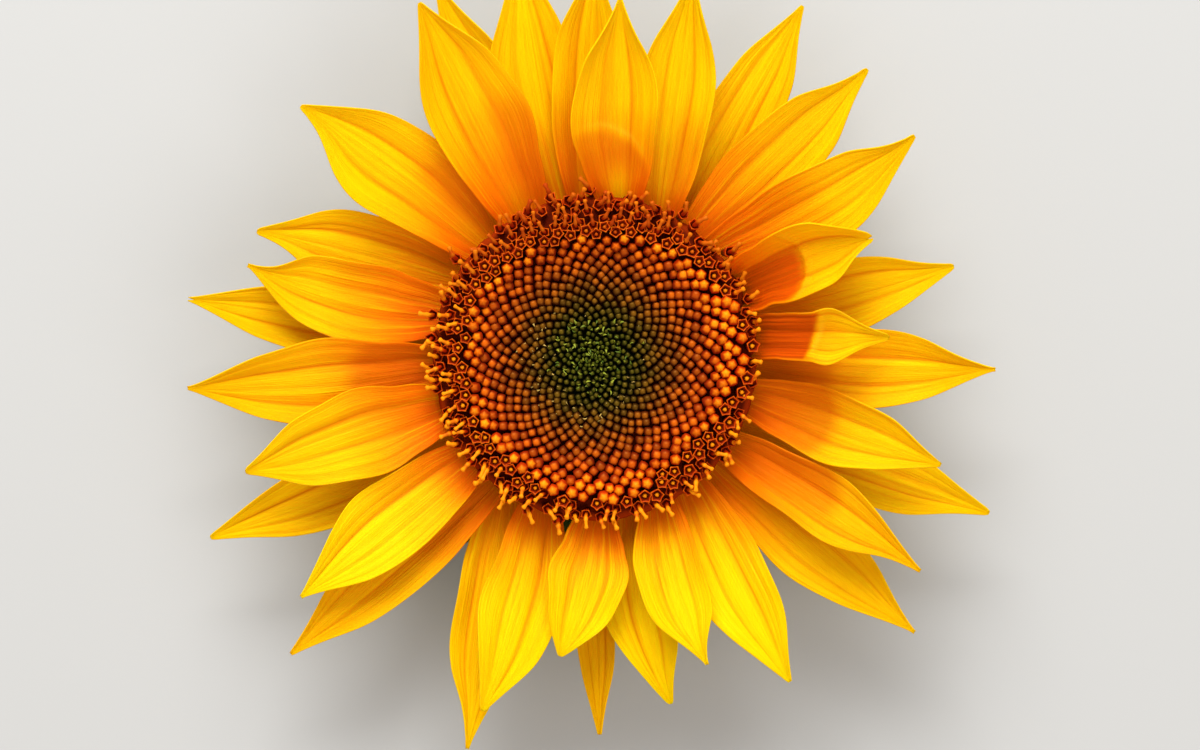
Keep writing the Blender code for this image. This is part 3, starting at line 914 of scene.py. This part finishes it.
def plantShapes(nodes, take, points, rotation, size):
    # sets the shape out on the points and ends the tree
    shape = nodes.add("GeometryNodeObjectInfo", None, {"Object": take["Shape"]}, out="Geometry")
    grown = nodes.add("GeometryNodeInstanceOnPoints", None,
                      {"Points": points, "Instance": shape, "Rotation": rotation,
                       "Scale": nodes.vector(size, size, size)})
    grown = nodes.add("GeometryNodeRealizeInstances", None, {"Geometry": grown})
    grown = nodes.add("GeometryNodeSetMaterial", None, {"Geometry": grown, "Material": take["Material"]})
    nodes.add("NodeGroupOutput", None, {"Geometry": grown})


def grownMesh(tree, settings, host=None):
    # runs a tree on an object and gives the result as a plain mesh
    if host is None:
        host = newObject("host", bpy.data.meshes.new("host"))
    grower = host.modifiers.new("grow", "NODES")
    grower.node_group = tree
    for item in tree.interface.items_tree:
        if item.in_out == "INPUT" and item.name in settings:
            grower[item.identifier] = settings[item.name]
    bpy.context.view_layer.update()
    shapes = bpy.context.evaluated_depsgraph_get()
    mesh = bpy.data.meshes.new_from_object(host.evaluated_get(shapes), preserve_all_data_layers=True,
                                           depsgraph=shapes)
    bpy.data.objects.remove(host, do_unlink=True)
    bpy.data.objects.remove(settings["Shape"], do_unlink=True)
    mesh.materials.clear()
    return mesh


def ringLine(nodes, part, line):
    points = [(i / 8, line[i % 8] / lineScale) for i in range(9)]
    return nodes.add("ShaderNodeFloatCurve", {"points": points}, {"Value": part}) * (lineScale * mm)


def floretTree(name, start, end):
    sizes = ("Disc Radius", "Turn", "Size", "Sink", "Lean", "Sway", "Twist", "Ragged", "Spread", "Keep")
    tree, nodes, take = newTree(name, {"Count": "Int", "Extra": "Int", "Seed": "Int", "Shape": "Object",
                                       "Material": "Material", **dict.fromkeys(sizes, "Float")})

    def chance(low, high, extra):
        return nodes.add("FunctionNodeRandomValue", {"data_type": "FLOAT"},
                         {2: low, 3: high, "Seed": take["Seed"] + extra}, out=1)

    def stored(title):
        return nodes.add("GeometryNodeInputNamedAttribute", {"data_type": "FLOAT"}, {"Name": title})

    # places on the spiral, packed closer in the middle of the disc
    index = nodes.add("GeometryNodeInputIndex")
    order = (index + 0.5) / take["Count"]
    radius = take["Disc Radius"] * order ** (0.70 + order * 0.25)
    turn = index * take["Turn"]
    x, y = radius * turn.maths("COSINE"), radius * turn.maths("SINE")
    part = (turn / math.tau).maths("FRACT")
    ragged = radius + chance(-1.0, 1.0, 1) * take["Ragged"]
    inside = (ragged > ringLine(nodes, part, rings[start])) * (ragged < ringLine(nodes, part, rings[end]))
    inside = inside * (chance(0.0, 1.0, 2) < take["Keep"])
    crown = [(r / lineScale, h / lineScale) for r, h in crownLine] + [(1.0, crownLine[-1][1] / lineScale)]
    height = nodes.add("ShaderNodeFloatCurve", {"points": crown}, {"Value": radius / (lineScale * mm)})
    height = height * (lineScale * mm) - take["Sink"]
    place = nodes.vector(x + chance(-1.0, 1.0, 3) * take["Spread"] + axisX,
                         y + chance(-1.0, 1.0, 4) * take["Spread"] + axisY, height)
    cloud = nodes.add("GeometryNodePoints", None,
                      {"Count": take["Count"] + take["Extra"], "Position": place})
    for title, field in (("ring", radius / take["Disc Radius"]), ("turn", turn), ("keep", inside),
                         ("tone", chance(0.0, 1.0, 5))):
        cloud = nodes.add("GeometryNodeStoreNamedAttribute", {"data_type": "FLOAT", "domain": "POINT"},
                          {"Geometry": cloud, "Name": title, "Value": field})
    cloud = nodes.add("GeometryNodeDeleteGeometry", {"domain": "POINT"},
                      {"Geometry": cloud, "Selection": stored("keep") < 0.5})

    # each floret faces outward, leans a little and is as wide as the space it has
    ring, turn = stored("ring"), stored("turn")
    heading = turn + chance(-1.0, 1.0, 6) * take["Twist"]
    lean = ring * ring * take["Lean"]
    up = nodes.vector(turn.maths("COSINE") * lean + chance(-1.0, 1.0, 7) * take["Sway"],
                      turn.maths("SINE") * lean + chance(-1.0, 1.0, 8) * take["Sway"], 1.0)
    facing = nodes.add("FunctionNodeEulerToRotation", None, {0: nodes.vector(0.0, 0.0, heading)})
    facing = nodes.add("FunctionNodeAlignRotationToVector", {"axis": "Z"},
                       {"Rotation": facing, "Vector": up})
    spacing = (0.99 + ring * take["Disc Radius"] * 50.0) * mm
    plantShapes(nodes, take, cloud, facing, spacing * take["Size"] * chance(0.93, 1.07, 9))
    return tree


# as many florets as fill the disc to its rim, and a few more that lie over it
floretBase = {"Count": 1100, "Extra": 34, "Disc Radius": 36.0 * mm, "Turn": -goldenAngle,
              "Ragged": 0.6 * mm, "Keep": 1.1, "Seed": 11}
# the lines each set lies between, its shape, and how each floret is set
floretSets = {
    "greenBuds": dict(lines=("centre", "green"), shape=budShape, Size=0.98, Sink=1.3 * mm, Lean=0.0,
                      Sway=0.18, Twist=0.5, Spread=0.06 * mm),
    "smallBuds": dict(lines=("green", "big"), shape=budShape, Size=1.07, Sink=1.7 * mm, Lean=0.10,
                      Sway=0.12, Twist=0.25, Spread=0.03 * mm),
    "bigBuds": dict(lines=("big", "star"), shape=bigBudShape, Size=1.12, Sink=2.5 * mm, Lean=0.10,
                    Sway=0.10, Twist=0.5, Spread=0.04 * mm),
    "openStars": dict(lines=("star", "tube"), shape=starShape, Size=1.10, Sink=2.6 * mm, Lean=0.22,
                      Sway=0.10, Twist=0.6, Spread=0.06 * mm),
    "antherTubes": dict(lines=("long", "edge"), shape=shortTubeShape, Size=0.98, Sink=2.7 * mm, Lean=0.16,
                        Sway=0.34, Twist=1.0, Spread=0.45 * mm),
    "longTubes": dict(lines=("tube", "long"), shape=longTubeShape, Size=0.95, Sink=2.4 * mm, Lean=0.12,
                      Sway=0.26, Twist=0.45, Spread=0.35 * mm),
    "goldPoints": dict(lines=("green", "gold"), shape=spikeShape, Size=0.62, Sink=0.9 * mm, Lean=0.0,
                       Sway=0.35, Twist=3.1, Ragged=2.0 * mm, Spread=0.5 * mm, Keep=0.34, Seed=57),
    "bractSpikes": dict(lines=("centre", "green"), shape=spikeShape, Size=0.95, Sink=0.9 * mm, Lean=0.0,
                        Sway=0.55, Twist=3.1, Ragged=2.0 * mm, Spread=0.4 * mm, Keep=0.5, Seed=31),
}


def growFlorets(name, material):
    settings = {**floretBase, **floretSets[name], "Material": material}
    settings["Shape"] = settings.pop("shape")()
    tree = floretTree(name + "Tree", *settings.pop("lines"))
    mesh = grownMesh(tree, settings)
    for title in ("turn", "keep"):
        mesh.attributes.remove(mesh.attributes[title])
    return mesh


def buildFlorets():
    young, ripe = floretMaterial("floretYoung", 0.72), floretMaterial("floretRipe", 0.95)
    star = floretMaterial("floretOpen", 0.36)
    goldTip = bractTipMaterial("bractTipGold", (0.16, 0.11, 0.02), (0.75, 0.50, 0.12))
    greenTip = bractTipMaterial("bractTipGreen", (0.07, 0.13, 0.008), (0.38, 0.42, 0.03))
    plan = (("greenBuds", young, "green"), ("smallBuds", young, "orange"), ("bigBuds", ripe, "orange"),
            ("openStars", star, "open"), ("antherTubes", star, "open"), ("longTubes", star, "open"),
            ("goldPoints", goldTip, "orange"), ("bractSpikes", greenTip, "green"))
    nodeNames = {"green": "disc_green_buds", "orange": "disc_orange_buds", "open": "disc_open_florets"}
    for name, material, group in plan:
        mesh = growFlorets(name, material)
        addPiece(name, mesh, [material], group + "_florets", nodeNames[group])
        print("  ", name, len(mesh.polygons), "faces")


# fine hairs on the bracts and the neck

hairSets = {
    "bractHairs": dict(Density=260000.0, Length=1.5 * mm, Seed=3),
    "neckHairs": dict(Density=600000.0, Length=1.4 * mm, Seed=4),
}


def hairTree():
    tree, nodes, take = newTree("hairs", {"Geometry": "Geometry", "Density": "Float", "Shape": "Object",
                                          "Length": "Float", "Seed": "Int", "Material": "Material"})
    spread = nodes.outputs("GeometryNodeDistributePointsOnFaces",
                           {"Mesh": take["Geometry"], "Density": take["Density"], "Seed": take["Seed"]})
    low = nodes.add("ShaderNodeSeparateXYZ", None, {0: nodes.add("GeometryNodeInputPosition")}, out="Z")
    points = nodes.add("GeometryNodeDeleteGeometry", {"domain": "POINT"},
                       {"Geometry": spread["Points"], "Selection": low < take["Length"] * 1.3})
    tilt = nodes.add("FunctionNodeRandomValue", {"data_type": "FLOAT_VECTOR"},
                     {0: (-0.5, -0.5, -3.1), 1: (0.5, 0.5, 3.1), "Seed": take["Seed"]})
    tilt = nodes.add("FunctionNodeEulerToRotation", None, {0: tilt})
    turn = nodes.add("FunctionNodeRotateRotation", {"rotation_space": "LOCAL"},
                     {"Rotation": spread["Rotation"], "Rotate By": tilt})
    size = nodes.add("FunctionNodeRandomValue", {"data_type": "FLOAT"},
                     {2: 0.5, 3: 1.2, "Seed": take["Seed"] + 5}, out=1) * take["Length"]
    plantShapes(nodes, take, points, turn, size)
    return tree


def joinedSkin(pieces):
    skin = bmesh.new()
    for piece in pieces:
        skin.from_mesh(piece.data)
    mesh = bpy.data.meshes.new("skin")
    skin.to_mesh(mesh)
    skin.free()
    return newObject("skin", mesh)


def growHairs(name, pieces, material, slot):
    settings = {**hairSets[name], "Shape": hairShape(), "Material": material}
    mesh = grownMesh(hairTree(), settings, joinedSkin(pieces))
    addPiece(name, mesh, [material], slot)
    print("  ", name, len(mesh.polygons), "faces")


def hairMaterial():
    nodes = newMaterial("hairPale")
    colour = nodes.mix(nodes.attribute("height"), (0.30, 0.38, 0.16), (0.72, 0.76, 0.60))
    return finishMaterial(nodes, colour, 0.5)


# floor, light and camera

floor = {"reach": 3.0, "low": -0.0003, "colour": (0.52, 0.54, 0.57, 1.0)}
lights = {
    "key": dict(place=(-0.15, 1.02, 0.98), size=0.95, power=26.0, colour=(1.0, 0.98, 0.92)),
    "fill": dict(place=(0.5, -0.7, 1.3), size=1.2, power=8.0, colour=(1.0, 0.95, 0.88)),
}
sky = {"Color": (1.0, 0.90, 0.78, 1.0), "Strength": 0.50}


def buildStage():
    mesh = bpy.data.meshes.new("floor")
    reach, low = floor["reach"], floor["low"]
    corners = [(x * reach, y * reach, low) for x, y in ((-1, -1), (1, -1), (1, 1), (-1, 1))]
    mesh.from_pydata(corners, [], [(0, 1, 2, 3)])
    pale = finishMaterial(newMaterial("floorPale"), floor["colour"], 0.9, Specular_IOR_Level=0.1)
    mesh.materials.append(pale)
    newObject("floor", mesh)


def buildLight():
    for name, settings in lights.items():
        lamp = bpy.data.lights.new(name, "AREA")
        lamp.energy, lamp.size, lamp.color = settings["power"], settings["size"], settings["colour"]
        light = newObject(name, lamp)
        light.location = settings["place"]
        aim = Vector((axisX, axisY, 0.03)) - Vector(settings["place"])
        light.rotation_euler = aim.to_track_quat("-Z", "Y").to_euler()
    world = bpy.data.worlds.new("studio")
    world.use_nodes = True
    for name, value in sky.items():
        world.node_tree.nodes["Background"].inputs[name].default_value = value
    scene.world = world
    scene.view_settings.view_transform = "Standard"


camera = {"distance": 1.60, "fieldWidth": 0.264, "shiftX": 1.1 * mm, "shiftY": -3.7 * mm}


def buildCamera():
    lens = bpy.data.cameras.new("camera")
    lens.sensor_width = 36.0
    lens.lens = 36.0 * camera["distance"] / camera["fieldWidth"]
    viewer = newObject("camera", lens)
    viewer.location = (axisX + camera["shiftX"], axisY + camera["shiftY"], crownTop + camera["distance"])
    scene.camera = viewer


def build():
    buildStage()
    buildLight()
    buildCamera()
    print("stage, light and camera")
    green = leafMaterial("bractGreen", (0.045, 0.105, 0.022), (0.105, 0.205, 0.045), (0.30, 0.38, 0.14))
    stem = leafMaterial("stemGreen", (0.13, 0.21, 0.055), (0.22, 0.32, 0.09), (0.42, 0.48, 0.22))
    bed = bedMaterial()
    buildReceptacle(stem, bed)
    buildBed(bed)
    neck = buildNeck(stem, cutMaterial())
    print("receptacle and neck")
    bracts = [buildBract(number, green) for number in range(1, 22)]
    print("bracts")
    gold = [petalMaterial(), petalBackMaterial()]
    for number in range(1, 35):
        buildPetal(number, gold)
    print("petals")
    buildFlorets()
    print("florets")
    pale = hairMaterial()
    growHairs("bractHairs", bracts, pale, "bract")
    growHairs("neckHairs", [neck], pale, "stem")
    print("hairs")


build()
